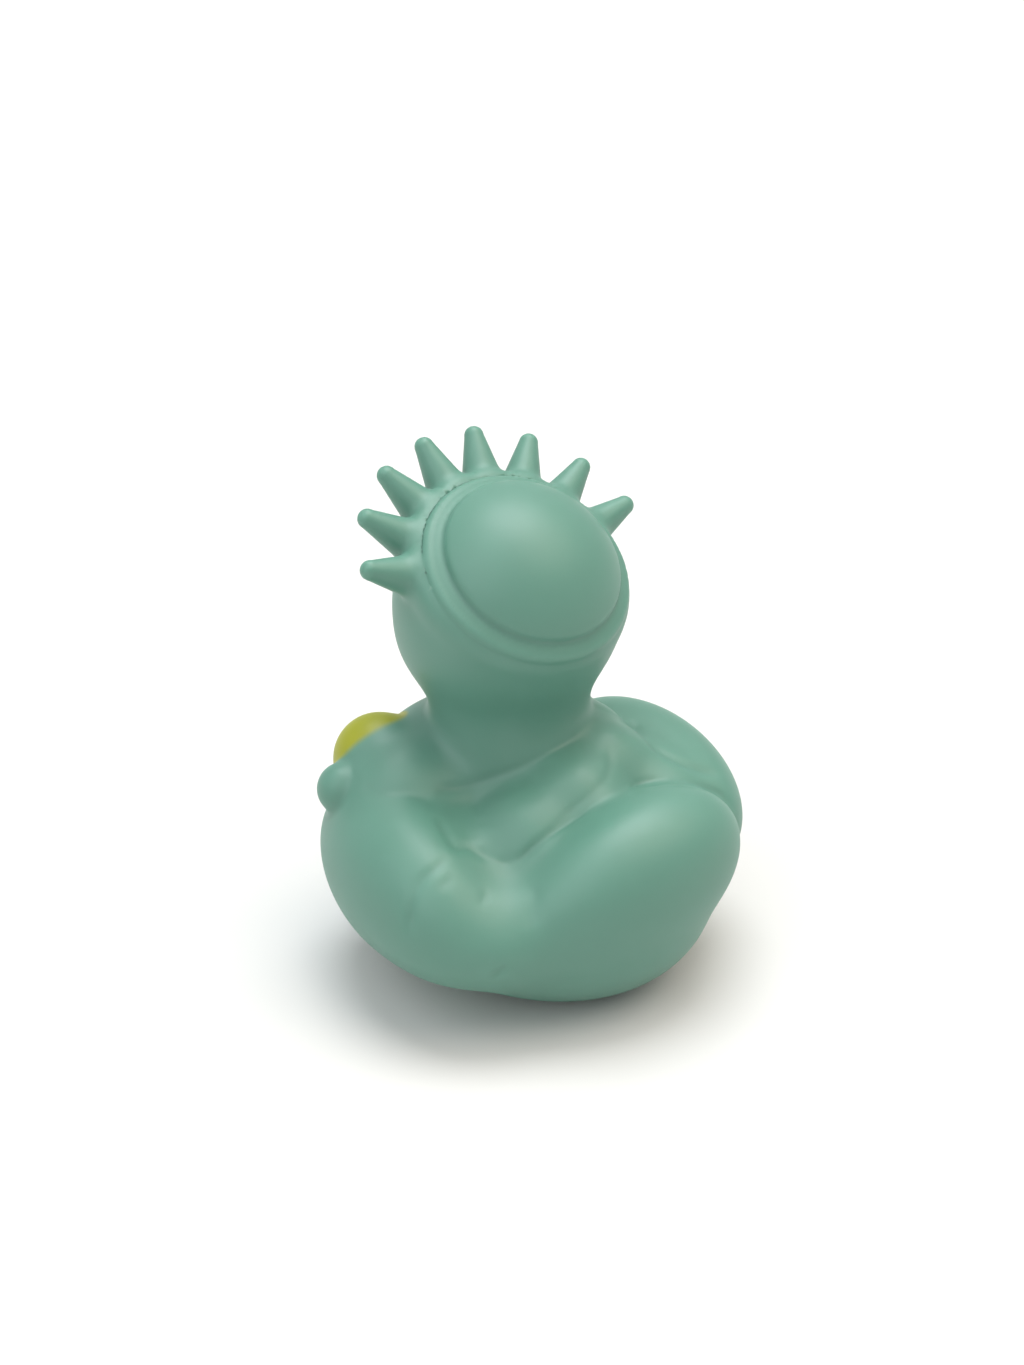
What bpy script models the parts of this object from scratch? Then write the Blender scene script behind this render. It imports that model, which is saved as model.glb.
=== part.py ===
"""Rubber duck: a hollow moulded vinyl bath duck with a rayed crown, a draped shawl and a ball on its left wing.

Metres, +Z up. The origin is on the floor under the middle of the duck, and the duck looks along -Y, so its left side
is +X. The form is worked out in millimetres: rounded lumps are blended into one smooth skin, and creases are pressed
into it. A rough mesh of the same lumps is then settled onto that skin.
"""

import math

import bmesh
import bpy
import numpy as np
from mathutils import Euler, Matrix, Vector

# Driving dimensions, in millimetres.
MM = 0.001
WALL = 2.4  # the moulded wall
VENT_RADIUS = 2.0  # the hole in the base
OUTER_VOXEL = 1.3
INNER_VOXEL = 3.0
OUTER_TRIANGLES = 6400
INNER_TRIANGLES = 1500
BASE_ROUNDING = 2.0
BASE_TRIM = 0.3  # how far the blended skin runs below the floor before the flat base is cut
SETTLE_STEPS = 6
MIDDLE = (0.5, 2.3)  # the middle of the outline seen from above, where the origin goes

# The neck and head.
NECK_Y = -6.5
HEAD_Z = 72.4
HEAD_RADIUS = 22.2

# The crown lies in a plane that leans back by CROWN_TILT.
CROWN_TILT = math.radians(38.0)
CROWN_CENTRE = np.array([0.0, -4.8, 78.4])
CROWN_UP = np.array([0.0, math.sin(CROWN_TILT), math.cos(CROWN_TILT)])
CROWN_FRONT = np.array([0.0, -math.cos(CROWN_TILT), math.sin(CROWN_TILT)])
CROWN_SIDE = np.array([1.0, 0.0, 0.0])
BAND_RADIUS = 19.0
BAND_TUBE = 2.8
CAP_RADIUS = 18.4
RAY_COUNT = 8
RAY_FAN = math.radians(77.0)  # the outermost rays, either side of the front
RAY_ROOT = 21.0
RAY_TIP = 31.4
RAY_ROOT_RADIUS = 4.0
RAY_TIP_RADIUS = 1.9
RAY_LIFT = 1.9  # how far the tips stand above the crown's plane

COLOURS = {"vinyl": (0.28, 0.52, 0.43, 1.0)}


def blend(first, second, reach):
    """The union of two distances, rounded where they are within reach of each other."""
    near = np.maximum(reach - np.abs(first - second), 0.0) / reach
    return np.minimum(first, second) - near**3 * reach / 6.0


class Lump:
    """An ellipsoid, turned by Euler angles in degrees."""

    def __init__(self, centre, radii, turn=(0.0, 0.0, 0.0)):
        self.centre = np.array(centre, float)
        self.radii = np.array(radii, float)
        self.axes = Euler([math.radians(a) for a in turn]).to_matrix()

    def distance(self, points):
        local = (points - self.centre) @ np.array(self.axes)
        near = np.linalg.norm(local / self.radii, axis=1)
        slope = np.linalg.norm(local / self.radii**2, axis=1)
        return near * (near - 1.0) / np.maximum(slope, 1e-6)

    def rough(self, bm, inset):
        size = Matrix.Diagonal([max(r - inset, 1.0) for r in self.radii] + [1.0])
        place = Matrix.Translation(Vector(self.centre)) @ self.axes.to_4x4() @ size
        bmesh.ops.create_icosphere(bm, subdivisions=4, radius=1.0, matrix=place)


class Rod:
    """A round rod between two points, with a radius at each end."""

    def __init__(self, start, end, start_radius, end_radius):
        self.start = np.array(start, float)
        self.end = np.array(end, float)
        self.start_radius = start_radius
        self.end_radius = end_radius

    def distance(self, points):
        along = self.end - self.start
        part = np.clip((points - self.start) @ along / (along @ along), 0.0, 1.0)
        radius = self.start_radius + (self.end_radius - self.start_radius) * part
        return np.linalg.norm(points - self.start - part[:, None] * along, axis=1) - radius

    def rough(self, bm, inset):
        along = Vector(self.end - self.start)
        turn = along.to_track_quat("Z", "Y").to_matrix().to_4x4()
        radii = [max(r - inset, 1.0) for r in (self.start_radius, self.end_radius)]
        middle = Matrix.Translation((Vector(self.start) + Vector(self.end)) / 2) @ turn
        bmesh.ops.create_cone(
            bm,
            cap_ends=True,
            segments=24,
            radius1=radii[0],
            radius2=radii[1],
            depth=along.length,
            matrix=middle,
        )
        for point, radius in zip((self.start, self.end), radii):
            place = Matrix.Translation(Vector(point))
            bmesh.ops.create_icosphere(bm, subdivisions=3, radius=radius, matrix=place)


class Hoop:
    """The crown's band: a ring in the crown's plane, a little taller than it is wide."""

    def __init__(self, centre, radius, tube, stretch):
        self.centre = centre
        self.radius = radius
        self.tube = tube
        self.stretch = stretch

    def distance(self, points):
        local = points - self.centre
        height = local @ CROWN_UP
        flat = local - height[:, None] * CROWN_UP
        across = np.linalg.norm(flat, axis=1) - self.radius
        return np.hypot(across, height / self.stretch) - self.tube

    def rough(self, bm, inset):
        """The cap and the rays cover the band's place in the rough mesh."""


def ray_rods():
    for angle in np.linspace(-RAY_FAN, RAY_FAN, RAY_COUNT):
        out = math.cos(angle) * CROWN_FRONT + math.sin(angle) * CROWN_SIDE
        root = CROWN_CENTRE + out * RAY_ROOT - 0.5 * CROWN_UP
        tip = CROWN_CENTRE + out * (RAY_TIP - RAY_TIP_RADIUS) + RAY_LIFT * CROWN_UP
        yield Rod(root, tip, RAY_ROOT_RADIUS, RAY_TIP_RADIUS)


def chain(points, radii):
    ends = zip(points, points[1:], radii, radii[1:])
    return [Rod(*end) for end in ends]


# Each entry is a lump and how far its blend into what comes before it reaches.
BODY = [
    (Lump((0, 4, 18), (35, 37, 18)), 1.0),
    (Lump((-2, 3, 12), (29.5, 32, 16)), 6.0),  # belly
    (Lump((3, -13, 29.8), (26, 22, 20)), 4.0),  # breast and cape
    (Lump((0, 28, 26.5), (27, 14, 18), (-18, 0, 0)), 6.0),  # tail
    (Lump((25, -1, 23), (16.5, 28, 17.5), (0, 8, -10)), 4.0),  # left wing
    (Lump((-27, 1, 27), (14, 27, 16.5), (0, -12, 0)), 3.0),  # right wing
    (Lump((19, 18, 19.5), (18, 16, 12.5)), 7.0),  # left hip
]
HEAD = [
    (Lump((0, NECK_Y, HEAD_Z), (22.0, 22.0, HEAD_RADIUS)), 1.0),
    (Lump((0, -10.5, 65), (19, 18, 15)), 6.0),  # cheeks
    (Rod((0, NECK_Y, 30), (0, NECK_Y, 60), 17, 14.5), 8.0),  # neck
]
NECK_REACH = 5.0
BILL = [
    (Lump((0, -29, 67.5), (9.5, 9, 3.4), (-8, 0, 0)), 2.5),
    (Lump((0, -27.5, 63.4), (8, 7.5, 2.8), (6, 0, 0)), 2.0),
]
CROWN = [
    (Hoop(CROWN_CENTRE + CROWN_UP - CROWN_FRONT, BAND_RADIUS, BAND_TUBE, 1.3), 1.5),
    (Lump(CROWN_CENTRE - 3.1 * CROWN_UP - 2.6 * CROWN_FRONT, (CAP_RADIUS,) * 3), 1.0),
]
SHAWL_ROLL = chain(
    [(-14, 0, 41), (-11, 8, 38.5), (-2, 13.5, 34.5), (9, 14.5, 29), (21, 11, 24)],
    [7.5, 9.5, 10.5, 10.5, 9.0],
)
HELD = [
    (Lump((23, -19.5, 39.6), (8.3, 8.3, 8.3)), 2.0),  # ball
    (Lump((32, -16, 36), (5.2, 5.2, 5.2)), 2.0),  # wing tip
]


def joined(parts, points):
    """The blended distance to a list of lumps."""
    total = parts[0][0].distance(points)
    for lump, reach in parts[1:]:
        total = blend(total, lump.distance(points), reach)
    return total


def added(total, parts, points):
    for lump, reach in parts:
        total = blend(total, lump.distance(points), reach)
    return total


def plain_skin(points):
    """Distance to the duck without its crown's rays and what it holds."""
    total = blend(joined(BODY, points), joined(HEAD, points), NECK_REACH)
    roll = joined([(rod, 2.0) for rod in SHAWL_ROLL], points)
    return blend(total, roll, 2.5)


def above_floor(total, points, floor):
    """Cuts the form off at the floor with a rounded edge."""
    return -blend(-total, points[:, 2] - floor, BASE_ROUNDING)


def outer_skin(points):
    total = added(plain_skin(points), CROWN + BILL + HELD, points)
    rays = joined([(rod, 1.0) for rod in ray_rods()], points)
    total = blend(total, rays, 2.6)
    return above_floor(total, points, -BASE_TRIM)


def inner_skin(points):
    return above_floor(plain_skin(points) + WALL, points, WALL)


def rough_mesh(name, parts, inset):
    """The lumps as overlapping closed meshes, in millimetres."""
    bm = bmesh.new()
    for part in parts:
        part.rough(bm, inset)
    mesh = bpy.data.meshes.new(name)
    bm.to_mesh(mesh)
    bm.free()
    return mesh


def evaluated_mesh(mesh, add_modifier):
    """A copy of the mesh with one modifier applied."""
    obj = bpy.data.objects.new("work", mesh)
    bpy.context.scene.collection.objects.link(obj)
    add_modifier(obj)
    graph = bpy.context.evaluated_depsgraph_get()
    result = bpy.data.meshes.new_from_object(obj.evaluated_get(graph))
    bpy.data.objects.remove(obj)
    bpy.data.meshes.remove(mesh)
    return result


def remeshed(mesh, voxel):
    def add_modifier(obj):
        modifier = obj.modifiers.new("Remesh", "REMESH")
        modifier.mode = "VOXEL"
        modifier.voxel_size = voxel

    return evaluated_mesh(mesh, add_modifier)


def thinned(mesh, triangles):
    def add_modifier(obj):
        modifier = obj.modifiers.new("Decimate", "DECIMATE")
        mesh.calc_loop_triangles()
        modifier.ratio = triangles / len(mesh.loop_triangles)

    return evaluated_mesh(mesh, add_modifier)


def settle(mesh, skin):
    """Moves every vertex onto the skin, straight towards it."""
    points = np.empty(len(mesh.vertices) * 3)
    mesh.vertices.foreach_get("co", points)
    points = points.reshape(-1, 3)
    step = 0.05
    offsets = np.array([(1, 1, 1), (1, -1, -1), (-1, 1, -1), (-1, -1, 1)], float)
    for _ in range(SETTLE_STEPS):
        slope = sum(o * skin(points + step * o)[:, None] for o in offsets) / (4 * step)
        length = np.maximum((slope**2).sum(axis=1), 0.25)
        move = np.clip(skin(points), -2.0, 2.0) / length
        points = points - move[:, None] * slope
    mesh.vertices.foreach_set("co", points.ravel())
    mesh.update()


def skin_mesh(name, parts, inset, voxel, skin, triangles):
    mesh = remeshed(rough_mesh(name, parts, inset), voxel)
    settle(mesh, skin)
    mesh = thinned(mesh, triangles)
    mesh.transform(Matrix.Scale(MM, 4) @ Matrix.Translation((-MIDDLE[0], -MIDDLE[1], 0.0)))
    mesh.name = name
    return mesh


def vinyl():
    material = bpy.data.materials.new("vinyl")
    material.use_nodes = True
    shader = material.node_tree.nodes["Principled BSDF"]
    shader.inputs["Base Color"].default_value = COLOURS["vinyl"]
    shader.inputs["Roughness"].default_value = 0.45
    shader.inputs["Metallic"].default_value = 0.0
    return material


def cutter(name, mesh):
    obj = bpy.data.objects.new(name, mesh)
    bpy.context.scene.collection.objects.link(obj)
    obj.hide_render = True
    obj.display_type = "WIRE"
    return obj


def floor_block():
    """Everything under the floor, cut away to leave the flat base."""
    size = 200.0 * MM
    bm = bmesh.new()
    place = Matrix.Translation((0.0, 0.0, -size / 2)) @ Matrix.Scale(size, 4)
    bmesh.ops.create_cube(bm, size=1.0, matrix=place)
    mesh = bpy.data.meshes.new("floor_block")
    bm.to_mesh(mesh)
    bm.free()
    return cutter("floor_block", mesh)


def vent_pin():
    depth = 4.0 * WALL * MM
    bm = bmesh.new()
    bmesh.ops.create_cone(
        bm, cap_ends=True, segments=24, radius1=VENT_RADIUS * MM, radius2=VENT_RADIUS * MM, depth=depth
    )
    mesh = bpy.data.meshes.new("vent_pin")
    bm.to_mesh(mesh)
    bm.free()
    return cutter("vent_pin", mesh)


def cut(obj, tool):
    modifier = obj.modifiers.new(tool.name, "BOOLEAN")
    modifier.operation = "DIFFERENCE"
    modifier.solver = "EXACT"
    modifier.object = tool


def main():
    for obj in list(bpy.data.objects):
        bpy.data.objects.remove(obj)
    core = [lump for lump, _ in BODY + HEAD] + SHAWL_ROLL
    trim = [lump for lump, _ in CROWN + BILL + HELD] + list(ray_rods())
    outer = skin_mesh("duck", core + trim, 0.0, OUTER_VOXEL, outer_skin, OUTER_TRIANGLES)
    inner = skin_mesh("hollow", core, WALL, INNER_VOXEL, inner_skin, INNER_TRIANGLES)
    duck = bpy.data.objects.new("duck", outer)
    bpy.context.scene.collection.objects.link(duck)
    outer.materials.append(vinyl())
    outer.shade_smooth()
    for tool in (floor_block(), cutter("hollow", inner), vent_pin()):
        cut(duck, tool)


main()
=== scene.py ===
"""Looks of a rubber duck: slush-moulded PVC vinyl in mint green with sprayed yellow paint, in a soft studio.

Metres, +Z up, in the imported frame: the duck looks along -Y and its left side is +X. The skin's form is worked out in
millimetres from rounded lumps that blend into each other, with creases pressed into it afterwards.
"""

import math

import bmesh
import bpy
import numpy as np
from mathutils import Euler, Matrix, Vector, noise


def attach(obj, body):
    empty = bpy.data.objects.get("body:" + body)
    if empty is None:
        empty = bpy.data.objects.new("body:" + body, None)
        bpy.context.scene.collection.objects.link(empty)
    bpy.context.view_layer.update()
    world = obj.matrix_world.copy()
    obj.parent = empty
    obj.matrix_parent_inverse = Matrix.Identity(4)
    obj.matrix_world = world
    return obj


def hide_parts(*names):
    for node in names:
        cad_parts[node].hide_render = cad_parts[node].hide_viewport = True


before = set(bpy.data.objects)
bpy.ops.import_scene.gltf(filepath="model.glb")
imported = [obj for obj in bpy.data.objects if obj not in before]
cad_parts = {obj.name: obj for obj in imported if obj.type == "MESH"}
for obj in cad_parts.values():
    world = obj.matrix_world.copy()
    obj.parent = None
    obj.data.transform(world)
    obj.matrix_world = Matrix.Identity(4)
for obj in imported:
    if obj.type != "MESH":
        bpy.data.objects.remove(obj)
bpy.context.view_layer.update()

# The skin, in millimetres.
MM = 0.001
VOXEL = 0.63
SETTLE_STEPS = 6
BASE_ROUNDING = 2.0
VENT_RADIUS = 2.0
VENT_DEPTH = 2.4
MIDDLE = (0.5, 2.3)  # the middle of the outline seen from above, where the origin goes

# The head and neck.
NECK_Y = -6.5
HEAD_Z = 72.4
HEAD_RADIUS = 22.2

# The crown lies in a plane that leans back by CROWN_TILT.
CROWN_TILT = math.radians(38.0)
CROWN_CENTRE = np.array([0.0, -4.8, 78.4])
CROWN_UP = np.array([0.0, math.sin(CROWN_TILT), math.cos(CROWN_TILT)])
CROWN_FRONT = np.array([0.0, -math.cos(CROWN_TILT), math.sin(CROWN_TILT)])
CROWN_SIDE = np.array([1.0, 0.0, 0.0])
BAND_RADIUS = 20.0
RIM_RADIUS = 19.2
GROOVE_RADIUS = 17.9
GROOVE_WIDTH = 0.9
GROOVE_DEPTH = 0.8
RAY_COUNT = 8
RAY_FAN = math.radians(77.0)
RAY_ROOT = 21.0
RAY_TIP = 31.4
RAY_ROOT_RADIUS = 4.0
RAY_TIP_RADIUS = 1.9
RAY_LIFT = 1.9


def blend(first, second, reach):
    """The union of two distances, rounded where they are within reach of each other."""
    near = np.maximum(reach - np.abs(first - second), 0.0) / reach
    return np.minimum(first, second) - near**3 * reach / 6.0


class Lump:
    """An ellipsoid, turned by Euler angles in degrees."""

    def __init__(self, centre, radii, turn=(0.0, 0.0, 0.0)):
        self.centre = np.array(centre, float)
        self.radii = np.array(radii, float)
        self.axes = Euler([math.radians(a) for a in turn]).to_matrix()

    def distance(self, points):
        local = (points - self.centre) @ np.array(self.axes)
        near = np.linalg.norm(local / self.radii, axis=1)
        slope = np.linalg.norm(local / self.radii**2, axis=1)
        return near * (near - 1.0) / np.maximum(slope, 1e-6)

    def rough(self, bm):
        size = Matrix.Diagonal(list(self.radii) + [1.0])
        place = Matrix.Translation(Vector(self.centre)) @ self.axes.to_4x4() @ size
        bmesh.ops.create_icosphere(bm, subdivisions=5, radius=1.0, matrix=place)


class Rod:
    """A round rod between two points, with a radius at each end."""

    def __init__(self, start, end, start_radius, end_radius):
        self.start = np.array(start, float)
        self.end = np.array(end, float)
        self.start_radius = start_radius
        self.end_radius = end_radius

    def distance(self, points):
        along = self.end - self.start
        part = np.clip((points - self.start) @ along / (along @ along), 0.0, 1.0)
        radius = self.start_radius + (self.end_radius - self.start_radius) * part
        return np.linalg.norm(points - self.start - part[:, None] * along, axis=1) - radius

    def rough(self, bm):
        along = Vector(self.end - self.start)
        turn = along.to_track_quat("Z", "Y").to_matrix().to_4x4()
        middle = Matrix.Translation((Vector(self.start) + Vector(self.end)) / 2) @ turn
        bmesh.ops.create_cone(
            bm,
            cap_ends=True,
            segments=32,
            radius1=self.start_radius,
            radius2=self.end_radius,
            depth=along.length,
            matrix=middle,
        )
        for point, radius in ((self.start, self.start_radius), (self.end, self.end_radius)):
            place = Matrix.Translation(Vector(point))
            bmesh.ops.create_icosphere(bm, subdivisions=4, radius=radius, matrix=place)


class Hoop:
    """The crown's band: a ring in the crown's plane, a little taller than it is wide."""

    def __init__(self, centre, radius, tube, stretch):
        self.centre = centre
        self.radius = radius
        self.tube = tube
        self.stretch = stretch

    def distance(self, points):
        local = points - self.centre
        height = local @ CROWN_UP
        flat = local - height[:, None] * CROWN_UP
        across = np.linalg.norm(flat, axis=1) - self.radius
        return np.hypot(across, height / self.stretch) - self.tube

    def rough(self, bm):
        for turn in np.linspace(0.0, 2.0 * math.pi, 96, endpoint=False):
            out = math.cos(turn) * CROWN_FRONT + math.sin(turn) * CROWN_SIDE
            place = Matrix.Translation(Vector(self.centre + out * self.radius))
            bmesh.ops.create_icosphere(bm, subdivisions=2, radius=self.tube, matrix=place)


def ray_rods():
    for angle in np.linspace(-RAY_FAN, RAY_FAN, RAY_COUNT):
        out = math.cos(angle) * CROWN_FRONT + math.sin(angle) * CROWN_SIDE
        root = CROWN_CENTRE + out * RAY_ROOT - 0.5 * CROWN_UP
        tip = CROWN_CENTRE + out * (RAY_TIP - RAY_TIP_RADIUS) + RAY_LIFT * CROWN_UP
        yield Rod(root, tip, RAY_ROOT_RADIUS, RAY_TIP_RADIUS)


def chain(points, radii):
    return [Rod(*end) for end in zip(points, points[1:], radii, radii[1:])]


# Each entry is a lump and how far its blend into what comes before it reaches.
BODY = [
    (Lump((-1, 3.5, 16), (30.5, 35.5, 16)), 1.0),
    (Lump((-2, 5, 12.5), (28, 30.5, 15.5)), 6.0),  # belly
    (Lump((3, -13, 29.8), (26, 22, 20)), 4.0),  # breast and cape
    (Lump((-4, 27.5, 25.5), (24.5, 14, 17), (-18, 14, 0)), 6.0),  # tail
    (Lump((27.5, -2, 24), (14, 27, 16.6), (0, 8, -10)), 4.0),  # left wing
    (Lump((-27, 1, 27), (14, 27, 16.5), (0, -12, 0)), 3.0),  # right wing
    (Lump((18, 17, 20), (19.5, 16.5, 11.5)), 9.0),  # left hip
    (Lump((-19, 11, 30), (14, 16, 13)), 4.0),  # right shoulder
]
HEAD = [
    (Lump((0, NECK_Y, HEAD_Z), (22.0, 22.0, HEAD_RADIUS)), 1.0),
    (Lump((0, -10.5, 65), (19, 18, 15)), 6.0),  # cheeks
    (Rod((0, NECK_Y, 30), (0, NECK_Y, 60), 17, 14.5), 8.0),  # neck
]
NECK_REACH = 5.0
BILL = [
    (Lump((0, -27.5, 66.8), (8, 6, 4.5)), 3.0),
    (Lump((0, -32, 67.3), (8.6, 7, 2.3), (-10, 0, 0)), 2.0),
    (Lump((0, -30.5, 63.8), (7.2, 6.2, 2.0), (8, 0, 0)), 1.6),
]
BAND = Hoop(CROWN_CENTRE + 0.3 * CROWN_UP - 1.0 * CROWN_FRONT, BAND_RADIUS, 2.2, 1.7)
RIM = Hoop(CROWN_CENTRE + 4.4 * CROWN_UP - 2.1 * CROWN_FRONT, RIM_RADIUS, 1.1, 1.0)
CROWN = [(BAND, 1.6), (RIM, 0.9)]
GROOVE = Hoop(CROWN_CENTRE + 7.0 * CROWN_UP - 2.35 * CROWN_FRONT, GROOVE_RADIUS, 0.0, 1.0)
SHAWL_ROLL = chain(
    [(-14, 0, 41), (-11, 8, 38.5), (-2, 12, 35.5), (8, 12.5, 30.5), (16, 9.5, 26.5), (20, 1, 29)],
    [7.5, 9.5, 11.0, 11.5, 10.5, 9.0],
)
HELD = [
    (Lump((20, -11, 35.5), (14, 13, 11)), 5.0),  # shoulder
    (Lump((22, -19.5, 39.3), (9, 9, 9)), 4.0),  # ball
    (Lump((32, -16.3, 37), (5.2, 5.2, 5.2)), 2.0),  # wing tip
]

# Creases pressed into the skin: points along each, its width and its depth.
CREASES = [
    # collar
    ([(22.5, 0, 41.6), (18.8, 1.3, 40.7), (14.6, 3, 41.2), (8, 7, 44), (0, 9.6, 47.3), (-7, 8, 48)], 1.2, 0.45),
    # pocket under the roll's left end
    ([(24.8, 5.3, 38.5), (26.3, 10, 37.5), (26.3, 13.7, 36), (23.5, 14.2, 34.8), (19.8, 18.4, 33)], 1.3, 0.5),
    # under the roll, up to the neck
    ([(21.5, 16.3, 34), (17.5, 20, 33.5), (11.3, 21.3, 37.7), (4, 20.6, 40.7), (-4.6, 19, 44), (-10, 12.6, 47)], 0.9, 0.25),
    # along the tail's rim, over to the right wing
    ([(18, 20.4, 32.6), (11.6, 21.7, 37), (1.8, 22, 40), (-9.4, 20, 40.5), (-15, 20, 40), (-27, 24, 36), (-30, 26, 31)], 0.8, 0.4),
    # along the right wing
    ([(-24, 0.6, 42.8), (-20.7, 9, 43), (-20, 14, 43), (-22.5, 18, 41), (-26, 20, 39), (-31, 21, 37)], 1.2, 0.5),
    # gathers behind the left wing
    ([(28, 15, 36), (32, 16.4, 35), (35, 16.6, 34), (37, 17, 31.5), (39, 18, 28), (40, 18.5, 24)], 1.0, 0.45),
    ([(29.5, 18.4, 34), (32.4, 19.4, 33), (34, 20, 32)], 1.0, 0.3),
    ([(24.4, 21.3, 31.5), (26.5, 23.6, 30.3), (29, 24.3, 29.7)], 1.0, 0.25),
    ([(16.7, 25.7, 32.3), (18.6, 28.5, 30.6), (20.7, 30.5, 28), (22.7, 31.5, 25.5)], 1.5, 0.25),
    ([(26, 32, 21), (28.4, 31, 19), (30, 29.5, 17.5)], 0.8, 0.4),
    # inner edge of the left wing
    ([(32, -10, 40.8), (31, -5, 40.8), (28.3, -2.2, 41), (25.6, 0.6, 40.3), (24.5, 4.5, 38.6)], 1.5, 0.3),
]
CREASE_FADE = 4.0  # how far from its ends a crease fades out


def joined(parts, points):
    """The blended distance to a list of lumps."""
    total = parts[0][0].distance(points)
    return added(total, parts[1:], points)


def added(total, parts, points):
    for lump, reach in parts:
        total = blend(total, lump.distance(points), reach)
    return total


def skin_distance(points):
    total = blend(joined(BODY, points), joined(HEAD, points), NECK_REACH)
    roll = joined([(rod, 2.0) for rod in SHAWL_ROLL], points)
    total = added(blend(total, roll, 6.5), CROWN + BILL + HELD, points)
    rays = joined([(rod, 1.0) for rod in ray_rods()], points)
    total = blend(total, rays, 2.6)
    return -blend(-total, points[:, 2], BASE_ROUNDING)


def rough_mesh():
    """A mesh near the skin: every lump as it is."""
    bm = bmesh.new()
    for part in [lump for lump, _ in BODY + HEAD + CROWN + BILL + HELD] + SHAWL_ROLL + list(ray_rods()):
        part.rough(bm)
    mesh = bpy.data.meshes.new("rough")
    bm.to_mesh(mesh)
    bm.free()
    return mesh


def remeshed(mesh, voxel):
    obj = bpy.data.objects.new("work", mesh)
    bpy.context.scene.collection.objects.link(obj)
    modifier = obj.modifiers.new("Remesh", "REMESH")
    modifier.mode = "VOXEL"
    modifier.voxel_size = voxel
    graph = bpy.context.evaluated_depsgraph_get()
    result = bpy.data.meshes.new_from_object(obj.evaluated_get(graph))
    bpy.data.objects.remove(obj)
    bpy.data.meshes.remove(mesh)
    return result


def points_of(mesh):
    points = np.empty(len(mesh.vertices) * 3)
    mesh.vertices.foreach_get("co", points)
    return points.reshape(-1, 3)


def normals_of(mesh):
    normals = np.empty(len(mesh.vertices) * 3)
    mesh.vertex_normals.foreach_get("vector", normals)
    return normals.reshape(-1, 3)


def settled(points, distance):
    """Moves every point onto the skin, straight towards it."""
    step = 0.05
    offsets = np.array([(1, 1, 1), (1, -1, -1), (-1, 1, -1), (-1, -1, 1)], float)
    for _ in range(SETTLE_STEPS):
        slope = sum(o * distance(points + step * o)[:, None] for o in offsets) / (4 * step)
        length = np.maximum((slope**2).sum(axis=1), 0.25)
        move = np.clip(distance(points), -2.0, 2.0) / length
        points = points - move[:, None] * slope
    return points


def smooth_path(corners, pieces=6):
    """A Catmull-Rom curve through the corners."""
    corners = np.array(corners, float)
    if len(corners) < 3:
        return corners
    ends = np.vstack([2 * corners[0] - corners[1], corners, 2 * corners[-1] - corners[-2]])
    path = []
    for a, b, c, d in zip(ends, ends[1:], ends[2:], ends[3:]):
        for t in np.arange(pieces) / pieces:
            path.append(
                0.5 * (2 * b + (c - a) * t + (2 * a - 5 * b + 4 * c - d) * t**2 + (3 * b - a - 3 * c + d) * t**3)
            )
    path.append(corners[-1])
    return np.array(path)


def crease_depth(points, corners, width, depth):
    """How deep a crease is at each point: a rounded groove that fades out at both ends."""
    path = smooth_path(corners)
    lengths = np.linalg.norm(np.diff(path, axis=0), axis=1)
    starts = np.concatenate([[0.0], np.cumsum(lengths)])
    nearest = np.full(len(points), 1e9)
    along = np.zeros(len(points))
    for start, end, length, begin in zip(path, path[1:], lengths, starts):
        way = (end - start) / length
        part = np.clip((points - start) @ way, 0.0, length)
        gap = np.linalg.norm(points - start - part[:, None] * way, axis=1)
        closer = gap < nearest
        nearest[closer] = gap[closer]
        along[closer] = begin + part[closer]
    fade = min(CREASE_FADE, starts[-1] / 2)
    ends = np.clip(np.minimum(along, starts[-1] - along) / fade, 0.0, 1.0)
    return depth * np.exp(-((nearest / width) ** 2)) * ends**2 * (3 - 2 * ends)


def skin():
    """The duck's outer skin, fine enough for its folds."""
    mesh = remeshed(rough_mesh(), VOXEL)
    points = settled(points_of(mesh), skin_distance)
    mesh.vertices.foreach_set("co", points.ravel())
    mesh.update()
    normals = normals_of(mesh)
    pressed = sum(crease_depth(points, *crease) for crease in CREASES)
    pressed = pressed + GROOVE_DEPTH * np.exp(-((GROOVE.distance(points) / GROOVE_WIDTH) ** 2))
    points = points - np.minimum(pressed, 1.8)[:, None] * normals
    points[:, 2] = np.maximum(points[:, 2], 0.0)
    points = (points - (MIDDLE[0], MIDDLE[1], 0.0)) * MM
    mesh.vertices.foreach_set("co", points.ravel())
    mesh.update()
    mesh.shade_smooth()
    mesh.name = "duck_skin"
    obj = bpy.data.objects.new("duck_skin", mesh)
    bpy.context.scene.collection.objects.link(obj)
    return obj


def colour(code):
    """An sRGB hex colour as linear RGBA."""
    parts = [int(code[i : i + 2], 16) / 255 for i in (1, 3, 5)]
    return [p / 12.92 if p <= 0.04045 else ((p + 0.055) / 1.055) ** 2.4 for p in parts] + [1.0]


def node(tree, kind, settings=None, links=None):
    """Adds one node with its settings and links; a key is an input's name or number, or a property."""
    made = tree.nodes.new(kind)
    for key, value in (settings or {}).items():
        if isinstance(key, int) or key in made.inputs:
            made.inputs[key].default_value = value
        else:
            setattr(made, key, value)
    for key, socket in (links or {}).items():
        tree.links.new(socket, made.inputs[key])
    return made


def in_frame(point):
    """A place on the form, in millimetres, as metres from the origin."""
    return tuple((p - m) * MM for p, m in zip(point, (*MIDDLE, 0.0)))


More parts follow.
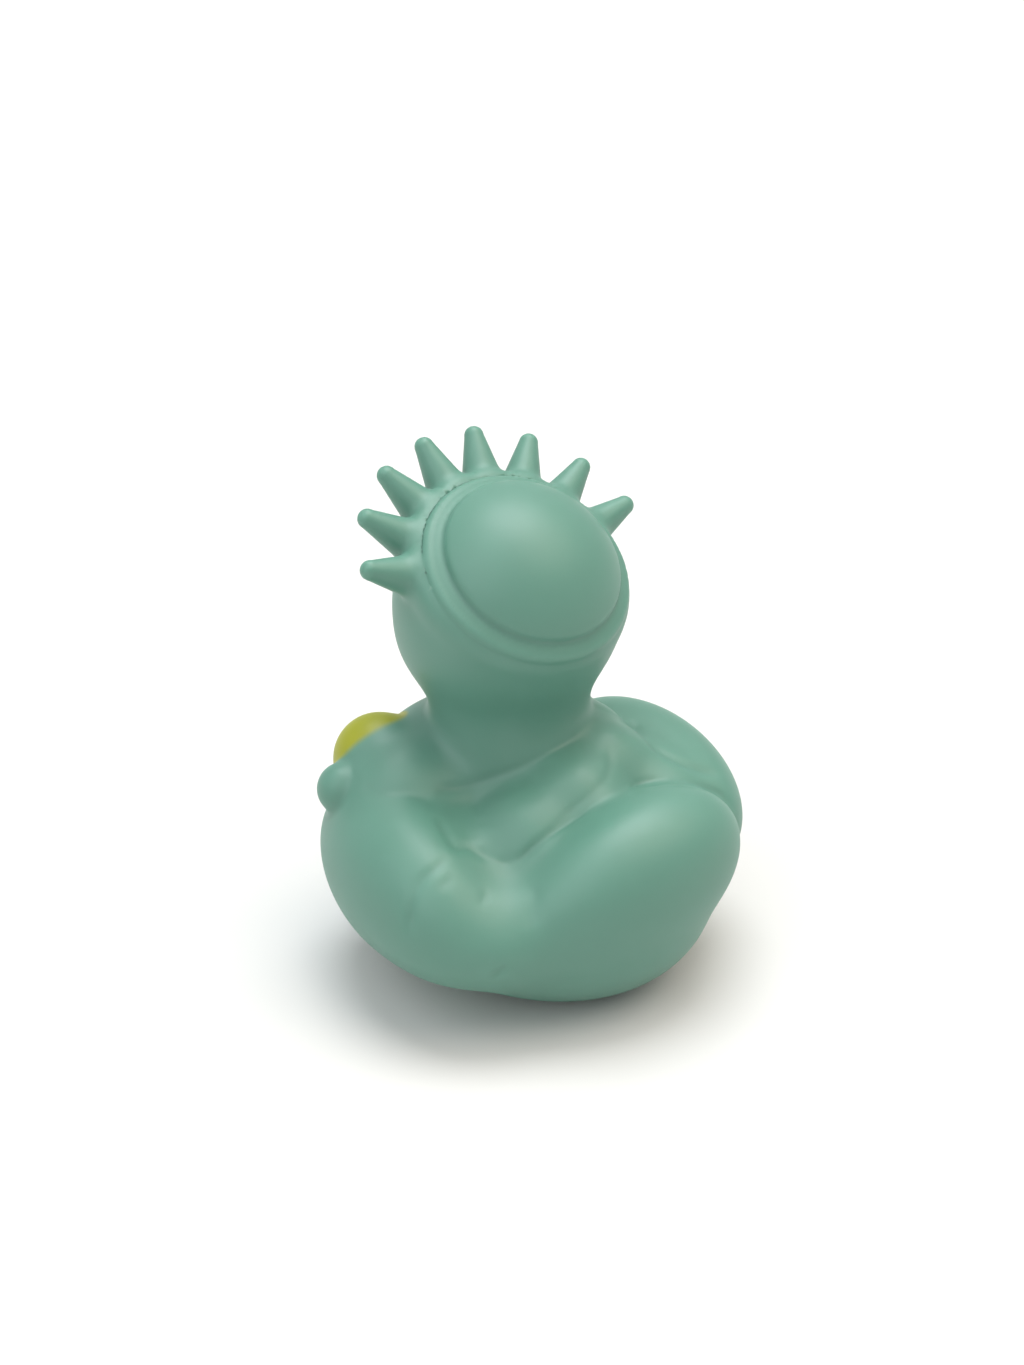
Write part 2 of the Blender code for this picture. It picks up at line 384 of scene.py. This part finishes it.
def round_mask(tree, place, centre, radii, inner, outer):
    """1 inside an ellipsoid, 0 outside it, with an edge from inner to outer of its radius."""
    away = node(
        tree, "ShaderNodeVectorMath", {"operation": "SUBTRACT", 1: in_frame(centre)}, {0: place}
    )
    scaled = node(
        tree, "ShaderNodeVectorMath", {"operation": "DIVIDE", 1: [r * MM for r in radii]}, {0: away.outputs[0]}
    )
    length = node(tree, "ShaderNodeVectorMath", {"operation": "LENGTH"}, {0: scaled.outputs[0]})
    return node(
        tree,
        "ShaderNodeMapRange",
        {"interpolation_type": "SMOOTHSTEP", "From Min": outer, "From Max": inner},
        {"Value": length.outputs["Value"]},
    ).outputs["Result"]


def mixed(tree, factor, first, second):
    """The second colour over the first; each is a socket or a colour."""
    settings = {"data_type": "RGBA"}
    links = {0: factor}
    for key, value in ((6, first), (7, second)):
        if isinstance(value, bpy.types.NodeSocket):
            links[key] = value
        else:
            settings[key] = value
    return node(tree, "ShaderNodeMix", settings, links).outputs[2]


def vinyl():
    """Slush-moulded PVC vinyl, mint green: a soft satin skin that lets a little light in, with a faint orange peel."""
    material = bpy.data.materials.new("slush_moulded_vinyl")
    material.use_nodes = True
    tree = material.node_tree
    shader = tree.nodes["Principled BSDF"]
    place = node(tree, "ShaderNodeTexCoord").outputs["Object"]
    mottle = node(tree, "ShaderNodeTexNoise", {"Scale": 1 / (14 * MM), "Detail": 3.0}, {"Vector": place})
    body = mixed(tree, mottle.outputs["Fac"], colour("#568373"), colour("#5C8A7A"))
    ball = round_mask(tree, place, (22.5, -24.0, 42.0), (9.8, 9.8, 9.8), 0.92, 1.05)
    bill = round_mask(tree, place, (0, -33.5, 65.3), (12, 9.6, 6.2), 0.96, 1.02)
    paint = node(tree, "ShaderNodeMath", {"operation": "MAXIMUM"}, {0: ball, 1: bill}).outputs[0]
    tinted = mixed(tree, paint, body, colour("#93961A"))
    for side in (-1, 1):
        eye = round_mask(tree, place, (side * 9.5, -26.0, 75.0), (2.7, 4.0, 3.6), 0.97, 1.0)
        tinted = mixed(tree, eye, tinted, colour("#17191A"))
        spark = round_mask(tree, place, (side * 9.5 + 0.9, -27.0, 76.6), (0.9, 3.0, 1.0), 0.92, 1.0)
        tinted = mixed(tree, spark, tinted, colour("#E9EEEC"))
    tree.links.new(tinted, shader.inputs["Base Color"])
    peel = node(tree, "ShaderNodeTexNoise", {"Scale": 1 / (0.8 * MM), "Detail": 2.0}, {"Vector": place})
    bump = node(
        tree, "ShaderNodeBump", {"Strength": 0.12, "Distance": 0.05 * MM}, {"Height": peel.outputs["Fac"]}
    )
    tree.links.new(bump.outputs["Normal"], shader.inputs["Normal"])
    shader.inputs["Roughness"].default_value = 0.46
    shader.inputs["IOR"].default_value = 1.53
    shader.inputs["Subsurface Weight"].default_value = 0.5
    shader.inputs["Subsurface Radius"].default_value = (0.8, 1.0, 0.9)
    shader.inputs["Subsurface Scale"].default_value = 4 * MM
    return material


# The camera and lights, around the middle of the duck's height.
AIM = Vector((-MIDDLE[0], -MIDDLE[1], 46.0)) * MM
CAMERA_AZIMUTH = math.radians(145.0)
CAMERA_ELEVATION = math.radians(27.0)
CAMERA_DISTANCE = 0.400
SENSOR = 36.0
LENS = 73.1
SHIFT = (-0.0166, 0.0513)


def sight_line(azimuth, elevation):
    """The direction from the duck to someone who looks at it; azimuth 0 is in front of it."""
    return Vector(
        (
            math.sin(azimuth) * math.cos(elevation),
            -math.cos(azimuth) * math.cos(elevation),
            math.sin(elevation),
        )
    )


def camera():
    data = bpy.data.cameras.new("camera")
    data.sensor_fit = "HORIZONTAL"
    data.sensor_width = SENSOR
    data.lens = LENS
    data.shift_x, data.shift_y = SHIFT
    data.clip_start = 0.01
    obj = bpy.data.objects.new("camera", data)
    towards = sight_line(CAMERA_AZIMUTH, CAMERA_ELEVATION)
    obj.location = AIM + towards * CAMERA_DISTANCE
    obj.rotation_euler = towards.to_track_quat("Z", "Y").to_euler()
    bpy.context.scene.collection.objects.link(obj)
    bpy.context.scene.camera = obj


def soft_light(name, azimuth, elevation, spread, power, tint):
    """A broad, even light from far away."""
    data = bpy.data.lights.new(name, "SUN")
    data.angle = math.radians(spread)
    data.energy = power
    data.color = colour(tint)[:3]
    obj = bpy.data.objects.new(name, data)
    towards = sight_line(math.radians(azimuth), math.radians(elevation))
    obj.location = AIM + towards
    obj.rotation_euler = towards.to_track_quat("Z", "Y").to_euler()
    bpy.context.scene.collection.objects.link(obj)


def studio():
    world = bpy.data.worlds.new("studio")
    world.use_nodes = True
    background = world.node_tree.nodes["Background"]
    background.inputs["Color"].default_value = colour("#FFFFFF")
    background.inputs["Strength"].default_value = 0.6
    bpy.context.scene.world = world
    soft_light("key", 320, 76, 40, 2.3, "#F8FCFF")
    soft_light("left", 100, 45, 60, 1.1, "#F4FAFF")
    soft_light("right", 225, 60, 50, 1.3, "#FFEEDD")
    bpy.context.scene.view_settings.view_transform = "Standard"


def floor():
    bm = bmesh.new()
    bmesh.ops.create_grid(bm, x_segments=1, y_segments=1, size=4.0)
    mesh = bpy.data.meshes.new("floor")
    bm.to_mesh(mesh)
    bm.free()
    obj = bpy.data.objects.new("floor", mesh)
    bpy.context.scene.collection.objects.link(obj)
    material = bpy.data.materials.new("matt_white_paper")
    material.use_nodes = True
    shader = material.node_tree.nodes["Principled BSDF"]
    shader.inputs["Base Color"].default_value = colour("#CFCFCD")
    shader.inputs["Roughness"].default_value = 0.9
    mesh.materials.append(material)


duck = skin()
duck.data.materials.append(vinyl())
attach(duck, "root")
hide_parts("duck")
camera()
studio()
floor()
